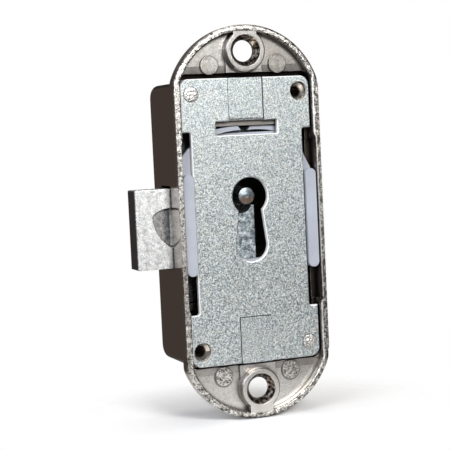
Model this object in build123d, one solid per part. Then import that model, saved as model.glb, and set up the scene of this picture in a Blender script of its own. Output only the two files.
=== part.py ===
from build123d import *
import math
import os

# Cut cupboard lock, in millimetres.
# X runs across the lock and away from the bolt, Y from the door into the cupboard, Z up.
# The origin is midway between the two screw holes, on the plane that meets the door.

# Case: the rim is an upright oval tray, with a deep box behind its middle.
case_width = 30.0
case_height = 77.1
case_centre_z = -0.42
end_arc_rise = 10.77
end_corner_radius = 3.0
flange_depth = 3.4
flange_edge_radius = 0.9
rim_edge_radius = 0.6
rim_inner_radius = 0.3
case_depth = 16.6
box_height = 54.8
box_corner_radius = 1.0
box_edge_radius = 2.8
box_side_edge_radius = 1.5
box_root_radius = 2.0
end_wall = 1.3
side_wall = 1.3
recess_wall = 0.9
back_wall = 1.5
cavity_height = 51.8
cavity_corner_radius = 1.0
ledge_width = 0.7
end_floor_y = 1.8

# Cover plate: pressed steel, with a keyhole, a window and a notch down each side.
plate_front_y = 1.12
plate_thickness = 1.0
plate_side_gap = 0.25
plate_height = 55.9
plate_corner_radius = 1.8
plate_edge_bevel = 0.18
plate_top_margin = 1.0
plate_foot_margin = 0.4
margin_depth = 0.9
margin_corner_radius = 1.6
ramp_length = 1.4
ramp_drop = 0.15
notch_depth = 1.83
notch_height = 35.4
notch_corner_radius = 0.5
window_width = 12.9
window_height = 2.7
window_bottom_z = 16.87
window_corner_radius = 0.3
tab_width = 7.1
tab_drop = 0.25
tab_bend_radius = 0.6
shear_line_width = 0.16
shear_line_depth = 0.4
panel_width = 6.5
panel_height = 9.0
panel_rise = 0.2
panel_corner_radius = 0.4

# Posts of the case that hold the plate, at two opposite corners, with open holes at the others.
post_spacing_x = 22.56
post_spacing_z = 49.92
post_radius = 1.3
post_head_radius = 1.45
post_head_height = 0.5
post_head_proud = 0.06
post_gap = 0.07
pillar_radius = 2.9
open_hole_radius = 1.87
blind_hole_radius = 0.95
blind_mouth_radius = 1.7
blind_mouth_depth = 1.0
blind_hole_depth = 5.0

# Screw holes, each in a round boss in an end of the tray.
screw_spacing = 66.2
screw_hole_radius = 2.1
screw_mouth_radius = 3.1
screw_mouth_depth = 1.5
screw_head_radius = 3.5
boss_radius = 4.05
boss_draft = 0.25
boss_bevel = 0.2
bridge_width = 4.8
pad_width = 7.5
pad_rise = 0.45
mark_radius = 1.8
mark_spacing_x = 14.2
mark_top_z = 30.5
mark_foot_z = -30.2
mark_rise = 0.3

# Key: the axis that the key turns about, and the hole that it goes in by.
key_axis_z = 4.8
keyhole_radius = 3.7
key_slot_neck = 4.9
key_slot_width = 6.6
key_slot_bottom = 12.86
key_slot_neck_drop = 2.4
bit_radius = 11.2
bit_thickness = 2.5
pin_radius = 1.65
pin_front_y = 2.8
pin_point_height = 0.45
pin_point_radius_share = 0.25
pin_key_length = 5.6
pin_root_radius = 2.0
pin_seat = 2.6
pin_boss_radius = 3.4
pin_boss_height = 1.9
pin_fit = 0.02

# Bolt: a zinc casting whose head slides out through the side of the case.
bolt_height = 15.6
bolt_centre_z = -0.75
bolt_thickness = 4.65
bolt_front_y = 5.45
bolt_reach = 7.35
bolt_throw = 7.5
bolt_edge_radius = 0.45
bolt_gap = 0.3
bolt_slot_front_gap = 0.35
bolt_slot_top_gap = 0.5
bolt_slot_foot_gap = 0.15
bolt_slot_back_gap = 1.0
bolt_slot_corner_radius = 0.5
shank_radius = 3.5
lower_limb_reach = 2.35
limb_hollow_radius = 2.3
limb_hollow_x = -0.35
limb_edge_radius = 0.9
lug_width = 2.0
lug_height = 3.4
lug_rise = 0.45
talon_gap = 0.2
dimple_half_width = 3.85
dimple_top = 3.75
dimple_shoulder = 2.35
dimple_point = -4.2
dimple_bulge_x = 3.0
dimple_bulge_z = -1.15
dimple_corner_radius = 0.8
dimple_centre_z = -0.45
dimple_valley_depth = 1.3
dimple_shore_depth = 0.25
groove_depth = 0.4
groove_width = 2.4

# Stump: a steel pin in the bolt that runs in the gates of the tumblers.
stump_radius = 1.1
stump_z = -12.7
stump_seat = 3.0
stump_front_gap = 0.2
stump_fit = 0.02

# Tumblers: moulded frames that slide up and down between the plate and the bolt.
tumbler_lifts = [2.2, 2.6, 1.8]
tumbler_thickness = 0.85
tumbler_gap = 0.08
tumbler_side_gap = 0.2
tumbler_top_z = 16.9
tumbler_bottom_z = -16.2
tumbler_shoulder_z = 10.6
tumbler_shoulder_x = 11.5
tumbler_shoulder_top_z = 14.4
tumbler_top_half_width = 9.0
tumbler_hip_z = -8.6
tumbler_waist_z = -10.4
tumbler_waist_half_width = 9.9
tumbler_foot_half_width = 9.6
tumbler_corner_radius = 0.8
opening_half_width = 11.35
opening_radius = 12.95
opening_lift = 10.6
opening_corner_radius = 1.0
gate_gap = 0.3
gate_spare = 0.15
rail_width = 2.2
rail_height = 19.6
rail_centre_z = -0.2
rail_front_y = 0.5
rail_gap = 0.2
ear_half_width = 13.5
ear_inner_x = 11.0
ear_foot_z = -9.0
ear_shoulder_zs = [12.9, 9.8]
ear_top_zs = [14.7, 13.8]
ear_cut_widths = [1.6, 2.0]
recess_height = 31.9
recess_centre_z = -0.45
recess_taper = 1.0

# Spring arms: a thin arm on top of each tumbler, sprung against a rib of the case.
arm_root_width = 1.3
arm_root_inset = 0.25
arm_thickness = 0.8
arm_bow = 0.2
arm_tip_x = 1.5
arm_tip_slope = 0.6
arm_gap = 0.1

# Ribs of the case.
rib_thickness = 1.4
rib_half_width = 12.0
spring_rib_z = 18.65
rib_front_gap = 0.3
rest_gap = 0.1
rail_rib_inset = 2.0

# Detent: a bowed steel strip that bears on the back of the bolt.
detent_thickness = 0.35
detent_width = 4.0
detent_centre_z = -7.0
detent_length = 16.0
detent_bump_x = -3.0
detent_bump_radius = 0.9
detent_gap = 0.1
detent_foot = 1.2
detent_stop_height = 1.0
detent_stop_width = 0.8

# How far every cutter runs past the faces that it cuts.
overrun = 1.0

# Places that follow from the sizes above.
half_width = case_width / 2
plate_back_y = plate_front_y + plate_thickness
plate_half_width = half_width - side_wall - plate_side_gap
pocket_top_z = plate_height / 2 + plate_top_margin
pocket_foot_z = -plate_height / 2 - plate_foot_margin
ledge_y = plate_back_y
cavity_half_width = half_width - side_wall - ledge_width
cavity_floor_y = case_depth - back_wall
recess_half_width = half_width - recess_wall
notch_edge_x = plate_half_width - notch_depth
tumbler_front_y = plate_back_y + tumbler_gap
tumbler_pitch = tumbler_thickness + tumbler_gap
recess_depth = tumbler_front_y + tumbler_thickness + rail_gap
tumbler_half_width = cavity_half_width - tumbler_side_gap
bolt_back_y = bolt_front_y + bolt_thickness
bolt_top_z = spring_rib_z - bolt_gap
bolt_bottom_z = stump_z - stump_radius - tumbler_corner_radius - tumbler_corner_radius
body_left_x = bolt_gap - cavity_half_width
body_right_x = -body_left_x - bolt_throw
stump_x = -bolt_throw / 2
rest_rib_z = tumbler_bottom_z - tumbler_lifts[0] - rest_gap


def slab(outline, front_y, back_y):
    """An outline in X and Z made solid between two depths."""
    return extrude(Plane.XZ.offset(-back_y) * outline, back_y - front_y, dir=(0, -1, 0))


def cone(x, z, front_y, front_radius, back_y, back_radius):
    """A round taper along Y between two depths."""
    middle = Plane(origin=(x, (front_y + back_y) / 2, z), x_dir=(1, 0, 0), z_dir=(0, 1, 0))
    return middle * Cone(front_radius, back_radius, back_y - front_y)


def block(left_x, right_x, low_z, high_z, front_y, back_y):
    """A square-edged block given by its faces."""
    outline = Pos((left_x + right_x) / 2, (low_z + high_z) / 2) * Rectangle(right_x - left_x, high_z - low_z)
    return slab(outline, front_y, back_y)


def rim_outline():
    """Two straight sides joined by flat end arcs, with the four joints rounded."""
    top = case_height / 2
    corner = top - end_arc_rise
    sides = Line((half_width, -corner), (half_width, corner))
    sides = sides + Line((-half_width, corner), (-half_width, -corner))
    ends = ThreePointArc((half_width, corner), (0, top), (-half_width, corner))
    ends = ends + ThreePointArc((-half_width, -corner), (0, -top), (half_width, -corner))
    face = make_face(sides + ends)
    return Pos(0, case_centre_z) * fillet(face.vertices(), end_corner_radius)


def keyhole_outline():
    """A round hole with a slot below it that widens to a round foot."""
    foot_radius = key_slot_width / 2
    foot_z = key_axis_z - key_slot_bottom + foot_radius
    neck_z = key_axis_z - key_slot_neck_drop
    neck = key_slot_neck / 2
    corners = [(-neck, neck_z), (-foot_radius, foot_z), (foot_radius, foot_z), (neck, neck_z)]
    slot = Polygon(*corners, align=None)
    return Pos(0, key_axis_z) * Circle(keyhole_radius) + slot + Pos(0, foot_z) * Circle(foot_radius)


def post_places(sides):
    """Centres of plate holes, for the pairs of X and Z signs given."""
    return [(sx * post_spacing_x / 2, sz * post_spacing_z / 2) for sx, sz in sides]


held_corners = post_places([(-1, 1), (1, -1)])
open_corners = post_places([(1, 1), (-1, -1)])


def root_blend(side):
    """The hollow curve from an end of the box out to the back of the flange."""
    box_z = side * box_height / 2
    far_z = box_z + side * box_root_radius
    near_z = box_z - side * overrun
    deep_y = flange_depth + box_root_radius
    low_y = flange_depth - overrun
    middle = box_root_radius * (1 - math.sqrt(0.5))
    halfway = (flange_depth + middle, box_z + side * middle)
    curve = ThreePointArc((flange_depth, far_z), halfway, (deep_y, box_z))
    corners = [(deep_y, box_z), (deep_y, near_z), (low_y, near_z), (low_y, far_z), (flange_depth, far_z)]
    rest = Polyline(*corners)
    face = make_face(Plane.YZ.offset(-half_width) * (curve + rest))
    flat_back = offset(rim_outline(), -flange_edge_radius)
    return extrude(face, case_width, dir=(1, 0, 0)) & slab(flat_back, 0, case_depth)


def case_shell():
    """The tray and the box behind it, solid, with their outer edges rounded."""
    flange = slab(rim_outline(), 0, flange_depth)
    flange = fillet(flange.faces().sort_by(Axis.Y)[-1].edges(), flange_edge_radius)
    flange = fillet(flange.faces().sort_by(Axis.Y)[0].edges(), rim_edge_radius)
    box = slab(Rectangle(case_width, box_height), 0, case_depth)
    box = fillet(box.faces().sort_by(Axis.Y)[-1].edges().filter_by(Axis.X), box_edge_radius)
    box = fillet(box.faces().sort_by(Axis.Y)[-1].edges().filter_by(Axis.Z), box_side_edge_radius)
    box = box & slab(RectangleRounded(case_width, box_height, box_corner_radius), 0, case_depth)
    return flange + box + root_blend(1) + root_blend(-1)


def corner_pillars():
    """Outlines of the four pillars that the plate lies on."""
    pillars = Sketch()
    for x, z in held_corners + open_corners:
        to_x = math.copysign(half_width, x)
        to_z = math.copysign(box_height / 2, z)
        pillars += Pos(x, z) * Circle(pillar_radius)
        pillars += Pos((x + to_x) / 2, z) * Rectangle(abs(to_x - x), 2 * pillar_radius)
        pillars += Pos(x, (z + to_z) / 2) * Rectangle(2 * pillar_radius, abs(to_z - z))
    return pillars


def end_ramp(tray_outline, side):
    """The slope by which an end floor of the tray runs down to the plate's pocket."""
    near_z = pocket_top_z if side > 0 else pocket_foot_z
    far_z = near_z + side * ramp_length
    deep_y = end_floor_y + ramp_drop
    shallow_y = end_floor_y - overrun
    corners = [(end_floor_y, far_z), (deep_y, near_z), (shallow_y, near_z), (shallow_y, far_z)]
    face = Plane.YZ.offset(-half_width) * make_face(Polyline(*corners, close=True))
    wedge = extrude(face, case_width, dir=(1, 0, 0))
    return wedge & slab(tray_outline, shallow_y, deep_y)


def case_hollows():
    """Everything that is taken out of the shell before ribs and bosses go in."""
    tray_outline = offset(rim_outline(), -end_wall)
    middle_z = (pocket_top_z + pocket_foot_z) / 2
    pocket = RectangleRounded(case_width - 2 * side_wall, pocket_top_z - pocket_foot_z, margin_corner_radius)
    pocket = Pos(0, middle_z) * pocket
    around_plate = pocket - Rectangle(2 * plate_half_width, plate_height)
    cavity = RectangleRounded(2 * cavity_half_width, cavity_height, cavity_corner_radius) - corner_pillars()
    hollows = slab(tray_outline, -overrun, end_floor_y) + slab(pocket, -overrun, ledge_y)
    hollows += end_ramp(tray_outline, 1) + end_ramp(tray_outline, -1)
    hollows += slab(around_plate + (pocket - corner_pillars()), ledge_y - overrun, ledge_y + margin_depth)
    return hollows + slab(cavity, ledge_y - overrun, cavity_floor_y)


def rail_recess(side):
    """The recess in a side wall that a tumbler rail slides in, with sloped ends."""
    low = recess_centre_z - recess_height / 2
    high = recess_centre_z + recess_height / 2
    inner = side * (cavity_half_width - overrun)
    step = side * (half_width - side_wall)
    outer = side * recess_half_width
    corners = [(step, low - recess_taper), (outer, low), (outer, high), (step, high + recess_taper)]
    shallow = Polygon(*corners, align=None)
    deep = Polygon((inner, low), (outer, low), (outer, high), (inner, high), align=None)
    return slab(shallow, -overrun, ledge_y) + slab(deep, -overrun, recess_depth)


def bolt_slot():
    """The slot in the side wall that the bolt head slides through."""
    front = bolt_front_y - bolt_slot_front_gap
    back = bolt_back_y + bolt_slot_back_gap
    high = bolt_height + bolt_slot_top_gap + bolt_slot_foot_gap
    middle_z = bolt_centre_z + (bolt_slot_top_gap - bolt_slot_foot_gap) / 2
    mouth = Plane.YZ.offset(-half_width - overrun) * Pos((front + back) / 2, middle_z)
    outline = mouth * RectangleRounded(back - front, high, bolt_slot_corner_radius)
    return extrude(outline, half_width - cavity_half_width + 2 * overrun)


def screw_boss(side):
    """A boss with its bridge to the rim, its pad and the ejector marks of that end."""
    z = side * screw_spacing / 2
    end_z = case_centre_z + side * (case_height - end_wall) / 2
    pocket_z = pocket_top_z if side > 0 else pocket_foot_z
    mark_z = mark_top_z if side > 0 else mark_foot_z
    boss = cone(0, z, 0, boss_radius, flange_depth - flange_edge_radius, boss_radius + boss_draft)
    rim_edges = boss.edges().sort_by(Axis.Y)[0]
    boss = chamfer(rim_edges, boss_bevel)
    low, high = sorted((z, end_z))
    bridge = block(-bridge_width / 2, bridge_width / 2, low, high, 0, end_floor_y)
    low, high = sorted((z, pocket_z))
    back = flange_depth - flange_edge_radius
    pad = block(-pad_width / 2, pad_width / 2, low, high, end_floor_y - pad_rise, back)
    piece = boss + bridge + pad
    for mark_x in (-mark_spacing_x / 2, mark_spacing_x / 2):
        mark = Pos(mark_x, mark_z) * Circle(mark_radius)
        piece += slab(mark, end_floor_y - mark_rise, back)
    return piece


def screw_hole(side):
    """A screw hole: wide mouth towards the door, throat, and countersink at the back."""
    z = side * screw_spacing / 2
    head_depth = screw_head_radius - screw_hole_radius
    hole = slab(Pos(0, z) * Circle(screw_hole_radius), -overrun, flange_depth + overrun)
    hole += cone(0, z, 0, screw_mouth_radius, screw_mouth_depth, screw_hole_radius)
    hole += cone(0, z, flange_depth - head_depth, screw_hole_radius, flange_depth, screw_head_radius)
    return hole


def case_ribs():
    """Ribs across the hollow: spring rest, bolt guides, tumbler rest and detent stops."""
    floor = cavity_floor_y + overrun
    front = plate_back_y + rib_front_gap
    ribs = block(-rib_half_width, rib_half_width, spring_rib_z, spring_rib_z + rib_thickness, front, floor)
    ribs += block(-rib_half_width, rib_half_width, rest_rib_z - rib_thickness, rest_rib_z, front, floor)
    guide_z = bolt_bottom_z - bolt_gap
    ribs += block(-rib_half_width, rib_half_width, guide_z - rib_thickness, guide_z, bolt_front_y, floor)
    behind = bolt_back_y + detent_gap
    for z in (bolt_top_z - rail_rib_inset, bolt_bottom_z + rail_rib_inset):
        low, high = z - rib_thickness / 2, z + rib_thickness / 2
        ribs += block(-rib_half_width, rib_half_width, low, high, behind, floor)
    stop_y = cavity_floor_y - detent_stop_height
    for end_x in (-detent_length / 2, detent_length / 2):
        inner = detent_bump_x + end_x + math.copysign(bolt_gap, end_x)
        low_x, high_x = sorted((inner, inner + math.copysign(detent_stop_width, end_x)))
        low_z = detent_centre_z - detent_width / 2
        ribs += block(low_x, high_x, low_z, low_z + detent_width, stop_y, floor)
    return ribs


def post(x, z):
    """A post of the case with its head spread over the plate."""
    head_y = plate_front_y - post_head_proud
    neck_y = plate_front_y + post_head_height
    shaft = slab(Pos(x, z) * Circle(post_radius), neck_y, ledge_y + overrun)
    return shaft + cone(x, z, head_y, post_head_radius, neck_y, post_radius)


def make_casing():
    casing = case_shell() - case_hollows()
    rim_edges = casing.faces().sort_by(Axis.Y)[0].inner_wires()[0].edges()
    casing = fillet(rim_edges, rim_inner_radius)
    pin_boss = Pos(0, key_axis_z) * Circle(pin_boss_radius)
    casing += slab(pin_boss, cavity_floor_y - pin_boss_height, cavity_floor_y)
    casing += case_ribs()
    for side in (-1, 1):
        casing -= rail_recess(side)
        casing += screw_boss(side)
        casing -= screw_hole(side)
    casing -= bolt_slot()
    for x, z in held_corners:
        casing += post(x, z)
    for x, z in open_corners:
        casing -= slab(Pos(x, z) * Circle(blind_hole_radius), 0, ledge_y + blind_hole_depth)
        casing -= cone(x, z, ledge_y, blind_mouth_radius, ledge_y + blind_mouth_depth, blind_hole_radius)
    pin_end_y = cavity_floor_y - pin_boss_height + pin_seat
    pin_bore = Pos(0, key_axis_z) * Circle(pin_root_radius + pin_fit)
    return casing - slab(pin_bore, 0, pin_end_y + pin_fit)


def make_cover_plate():
    outline = RectangleRounded(2 * plate_half_width, plate_height, plate_corner_radius)
    for side in (-1, 1):
        notch = Pos(side * (notch_edge_x + notch_depth), 0) * RectangleRounded(
            2 * notch_depth, notch_height, notch_corner_radius
        )
        outline -= notch
    window_z = window_bottom_z + window_height / 2
    outline -= Pos(0, window_z) * RectangleRounded(window_width, window_height, window_corner_radius)
    outline -= keyhole_outline()
    plate = slab(outline, plate_front_y, plate_back_y)
    plate = chamfer(plate.faces().sort_by(Axis.Y)[0].edges(), plate_edge_bevel)
    for x, z in open_corners:
        plate -= slab(Pos(x, z) * Circle(open_hole_radius), 0, plate_back_y + overrun)
    for x, z in held_corners:
        neck_y = plate_front_y + post_head_height
        plate -= slab(Pos(x, z) * Circle(post_radius + post_gap), 0, plate_back_y + overrun)
        plate -= cone(x, z, plate_front_y, post_head_radius + post_gap, neck_y, post_radius + post_gap)
    return press_tab(press_panel(plate))


def press_tab(plate):
    """The strip above the window, pushed in between two shear lines, with its lower end turned back."""
    low = window_bottom_z + window_height
    high = plate_height / 2
    half = tab_width / 2
    front, back = plate_front_y - overrun, plate_back_y + overrun
    plate -= block(-half, half, low - overrun, high + overrun, front, back)
    tab = block(-half, half, low, high, plate_front_y + tab_drop, plate_back_y + tab_drop)
    front_edge = tab.edges().filter_by(Axis.X).group_by(Axis.Z)[0].sort_by(Axis.Y)[0]
    plate += fillet(front_edge, tab_bend_radius)
    groove_y = plate_front_y + tab_drop + shear_line_depth
    for side in (-1, 1):
        left, right = sorted((side * half, side * (half + shear_line_width)))
        plate -= block(left, right, low - overrun, high + overrun, plate_front_y - overrun, groove_y)
    return plate


def press_panel(plate):
    """The rectangle at the foot of the plate, pushed out, with shear lines at its top and left."""
    low = -plate_height / 2
    panel = Pos(0, low + panel_height / 2) * RectangleRounded(panel_width, panel_height, panel_corner_radius)
    plate -= slab(panel, plate_front_y - overrun, plate_back_y + overrun)
    plate += slab(panel, plate_front_y - panel_rise, plate_back_y - panel_rise)
    left = -panel_width / 2
    high = low + panel_height
    front_y = plate_front_y - overrun
    groove_y = plate_front_y + shear_line_depth
    plate -= block(left - shear_line_width, left, low - overrun, high, front_y, groove_y)
    return plate - block(left - shear_line_width, -left, high, high + shear_line_width, front_y, groove_y)


def bolt_outline():
    """The head, a tall body behind the wall, and two limbs about the key axis."""
    head_left = -half_width - bolt_reach
    head = Pos((head_left + body_left_x) / 2, bolt_centre_z) * Rectangle(
        body_left_x - head_left + overrun, bolt_height
    )
    head = Pos(overrun / 2, 0) * head
    body = Pos((body_left_x + body_right_x) / 2, (bolt_top_z + bolt_bottom_z) / 2) * Rectangle(
        body_right_x - body_left_x, bolt_top_z - bolt_bottom_z
    )
    limb_top = key_axis_z - shank_radius
    gap_left = -bolt_throw - shank_radius - bolt_gap
    gap = Pos((gap_left + body_right_x + overrun) / 2, key_axis_z) * Rectangle(
        body_right_x + overrun - gap_left, 2 * shank_radius
    )
    right = Pos((lower_limb_reach + body_right_x + overrun) / 2, (limb_top + bolt_bottom_z - overrun) / 2)
    right = right * Rectangle(body_right_x + overrun - lower_limb_reach, limb_top - bolt_bottom_z + overrun)
    horn_low = limb_top - overrun
    horn_high = key_axis_z - pin_radius - bolt_gap
    horn = Pos((limb_hollow_x + lower_limb_reach) / 2, (horn_low + horn_high) / 2)
    horn = horn * Rectangle(lower_limb_reach - limb_hollow_x, horn_high - horn_low)
    hollow = Pos(limb_hollow_x, limb_top + limb_hollow_radius) * Circle(limb_hollow_radius)
    return head + body - gap - right + (horn - hollow)


def dimple():
    """A rounded, pointed hollow with a valley floor, in the face of the bolt where it leaves the case."""
    left = (-dimple_half_width, dimple_shoulder)
    right = (dimple_half_width, dimple_shoulder)
    point = (0, dimple_point)
    edges = ThreePointArc(left, (0, dimple_top), right)
    edges = edges + ThreePointArc(right, (dimple_bulge_x, dimple_bulge_z), point)
    edges = edges + ThreePointArc(point, (-dimple_bulge_x, dimple_bulge_z), left)
    face = make_face(edges)
    face = fillet(face.vertices(), dimple_corner_radius)
    back = bolt_front_y + bolt_thickness
    shield = slab(Pos(-half_width, dimple_centre_z) * face, bolt_front_y - overrun, back)
    valley = Plane.XY * Polygon(
        (-half_width - dimple_half_width, bolt_front_y - overrun),
        (-half_width - dimple_half_width, bolt_front_y + dimple_shore_depth),
        (-half_width, bolt_front_y + dimple_valley_depth),
        (-half_width + dimple_half_width, bolt_front_y + dimple_shore_depth),
        (-half_width + dimple_half_width, bolt_front_y - overrun),
        align=None,
    )
    return shield & extrude(Pos(0, 0, -half_width) * valley, case_width, dir=(0, 0, 1))


def make_bolt():
    seat = Pos(stump_x, stump_z) * Circle(stump_radius + stump_fit)
    bolt = slab(bolt_outline(), bolt_front_y, bolt_back_y)
    bolt -= slab(seat, bolt_front_y - overrun, bolt_front_y + stump_seat + stump_fit)
    tip_edges = bolt.faces().sort_by(Axis.X)[0].edges()
    bolt = fillet(tip_edges, bolt_edge_radius)
    talon = bit_thickness / 2 + talon_gap
    lug_low = key_axis_z + bit_radius - lug_height
    for side in (-1, 1):
        near = stump_x + side * talon
        low_x, high_x = sorted((near, near + side * lug_width))
        bolt += block(low_x, high_x, lug_low, lug_low + lug_height, bolt_front_y - lug_rise, bolt_front_y)
    bolt -= dimple()
    for groove_x in (detent_bump_x, detent_bump_x - bolt_throw):
        groove = Plane.XY * Polygon(
            (groove_x - groove_width / 2, bolt_back_y),
            (groove_x, bolt_back_y - groove_depth),
            (groove_x + groove_width / 2, bolt_back_y),
            align=None,
        )
        groove = Pos(0, 0, detent_centre_z - detent_width / 2 - bolt_gap) * groove
        bolt -= extrude(groove, detent_width + 2 * bolt_gap)
    return bolt


def make_bolt_stump():
    outline = Pos(stump_x, stump_z) * Circle(stump_radius)
    pin = slab(outline, plate_back_y + stump_front_gap, bolt_front_y + stump_seat)
    return chamfer(pin.edges().sort_by(Axis.Y)[0], stump_front_gap)


def make_drill_pin():
    back_y = cavity_floor_y - pin_boss_height + pin_seat
    shoulder_y = pin_front_y + pin_point_height
    step_y = shoulder_y + pin_key_length
    pin = slab(Pos(0, key_axis_z) * Circle(pin_radius), shoulder_y, step_y)
    pin += slab(Pos(0, key_axis_z) * Circle(pin_root_radius), step_y, back_y)
    point_radius = pin_radius * pin_point_radius_share
    return pin + cone(0, key_axis_z, pin_front_y, point_radius, shoulder_y, pin_radius)


def tumbler_frame(shift):
    """The outline of a tumbler, moved up by shift, with the opening that the key turns in."""
    right = [
        (tumbler_top_half_width, tumbler_top_z),
        (tumbler_shoulder_x, tumbler_shoulder_top_z),
        (tumbler_half_width, tumbler_shoulder_z),
        (tumbler_half_width, tumbler_hip_z),
        (tumbler_waist_half_width, tumbler_waist_z),
        (tumbler_foot_half_width, tumbler_bottom_z),
    ]
    left = [(-x, z) for x, z in reversed(right)]
    frame = make_face(Polyline(*right, *left, close=True))
    frame = fillet(frame.vertices(), tumbler_corner_radius)
    low = key_axis_z - opening_radius - overrun
    high = key_axis_z + opening_lift
    window = Pos(0, (low + high) / 2) * Rectangle(2 * opening_half_width, high - low)
    opening = window & (Pos(0, key_axis_z) * Circle(opening_radius))
    return Pos(0, shift) * (frame - opening)


def tumbler_gate(lift):
    """Two tall pockets for the stump, joined by a gate at the height of the stump."""
    room = stump_radius + gate_gap
    low = stump_z - room - gate_spare
    high = stump_z + room + lift + gate_spare
    gate = Pos(0, stump_z) * Rectangle(bolt_throw, 2 * room)
    for x in (stump_x, -stump_x):
        gate += Pos(x, (low + high) / 2) * RectangleRounded(2 * room, high - low, opening_corner_radius)
    return gate


def tumbler_rail(side, back_y):
    """A round-ended rail on the front of the first tumbler."""
    x = side * (recess_half_width - rail_gap - rail_width / 2)
    outline = Pos(x, rail_centre_z) * SlotOverall(rail_height, rail_width, rotation=90)
    return slab(outline, rail_front_y, back_y)


def tumbler_ear(side):
    """The outline of a side of the first tumbler that reaches into the recess, with its corner cut."""
    index = 0 if side < 0 else 1
    cut_x = ear_half_width - ear_cut_widths[index]
    right = [
        (ear_inner_x, ear_foot_z),
        (ear_half_width, ear_foot_z),
        (ear_half_width, ear_shoulder_zs[index]),
        (cut_x, ear_top_zs[index]),
        (ear_inner_x, ear_top_zs[index]),
    ]
    return make_face(Polyline(*[(side * x, z) for x, z in right], close=True))


def make_tumbler(index):
    lift = tumbler_lifts[index]
    front = tumbler_front_y + index * tumbler_pitch
    back = front + tumbler_thickness
    outline = tumbler_frame(lift - tumbler_lifts[0]) - tumbler_gate(lift)
    if index == 0:
        outline = outline + tumbler_ear(-1) + tumbler_ear(1)
    tumbler = slab(outline, front, back)
    if index == 0:
        for side in (-1, 1):
            tumbler += tumbler_rail(side, back)
    return tumbler


def make_spring_arm(index):
    """A bowed arm from one side of a tumbler's top edge to a tip under the spring rib."""
    side = -1 if index % 2 == 0 else 1
    base = tumbler_top_z + tumbler_lifts[index] - tumbler_lifts[0]
    root_x = tumbler_top_half_width - tumbler_corner_radius - arm_root_inset
    tip_z = spring_rib_z - arm_gap
    mid_x = (root_x + arm_tip_x) / 2
    mid_z = (base + arm_thickness + tip_z) / 2 + arm_bow
    inner_x = root_x - arm_root_width
    upper = ThreePointArc((root_x, base + arm_thickness), (mid_x, mid_z), (arm_tip_x, tip_z))
    nose = Line((arm_tip_x, tip_z), (arm_tip_x - arm_tip_slope, tip_z - arm_thickness))
    lower_mid = ((inner_x + arm_tip_x) / 2, mid_z - arm_thickness)
    lower = ThreePointArc((arm_tip_x - arm_tip_slope, tip_z - arm_thickness), lower_mid, (inner_x, base))
    root = Line((inner_x, base), (root_x, base)) + Line((root_x, base), (root_x, base + arm_thickness))
    face = make_face(upper + nose + lower + root)
    if side < 0:
        face = mirror(face, about=Plane.YZ)
    front = tumbler_front_y + index * tumbler_pitch
    return slab(face, front, front + tumbler_thickness)


def make_detent_spring():
    """A strip bowed from two feet on the floor to a bump on the back of the bolt."""
    half = detent_length / 2
    floor = cavity_floor_y
    crest = bolt_back_y + detent_gap
    bump = detent_bump_radius
    t = detent_thickness
    rise = [(-half, floor), (-half, floor - t), (-half + detent_foot, floor - t), (-bump, crest + bump)]
    fall = [(-x, y) for x, y in reversed(rise)]
    outer = Polyline(*rise)
    outer = outer + ThreePointArc((-bump, crest + bump), (0, crest), (bump, crest + bump))
    outer = outer + Polyline(*fall)
    inner = Polyline((half, floor), (half - detent_foot - t, floor), (bump, crest + bump + t))
    inner = inner + ThreePointArc((bump, crest + bump + t), (0, crest + t), (-bump, crest + bump + t))
    inner = inner + Polyline((-bump, crest + bump + t), (-half + detent_foot + t, floor), (-half, floor))
    face = make_face(outer + inner)
    low_z = detent_centre_z - detent_width / 2
    return Pos(detent_bump_x, 0, low_z) * extrude(face, detent_width)


def make_parts():
    parts = {
        "casing": make_casing(),
        "cover_plate": make_cover_plate(),
        "bolt": make_bolt(),
        "bolt_stump": make_bolt_stump(),
        "drill_pin": make_drill_pin(),
        "bolt_detent_spring": make_detent_spring(),
    }
    for index in range(len(tumbler_lifts)):
        parts[f"tumbler_{index + 1}"] = make_tumbler(index)
        parts[f"tumbler_{index + 1}_spring_arm"] = make_spring_arm(index)
    return parts


os.makedirs("parts", exist_ok=True)
for name, shape in make_parts().items():
    export_step(shape, f"parts/{name}.step")
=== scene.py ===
"""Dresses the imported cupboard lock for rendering.

Places are in metres, in the frame of the CAD model: X across the lock and away from the bolt, Y from the
door into the cupboard, Z up, with the origin midway between the two screw holes. The sizes in the finishes
and in the pieces are in millimetres.
"""

import logging
import math
from dataclasses import dataclass
from enum import Enum
from typing import Any

import bpy
from mathutils import Matrix, Vector, noise


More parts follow.
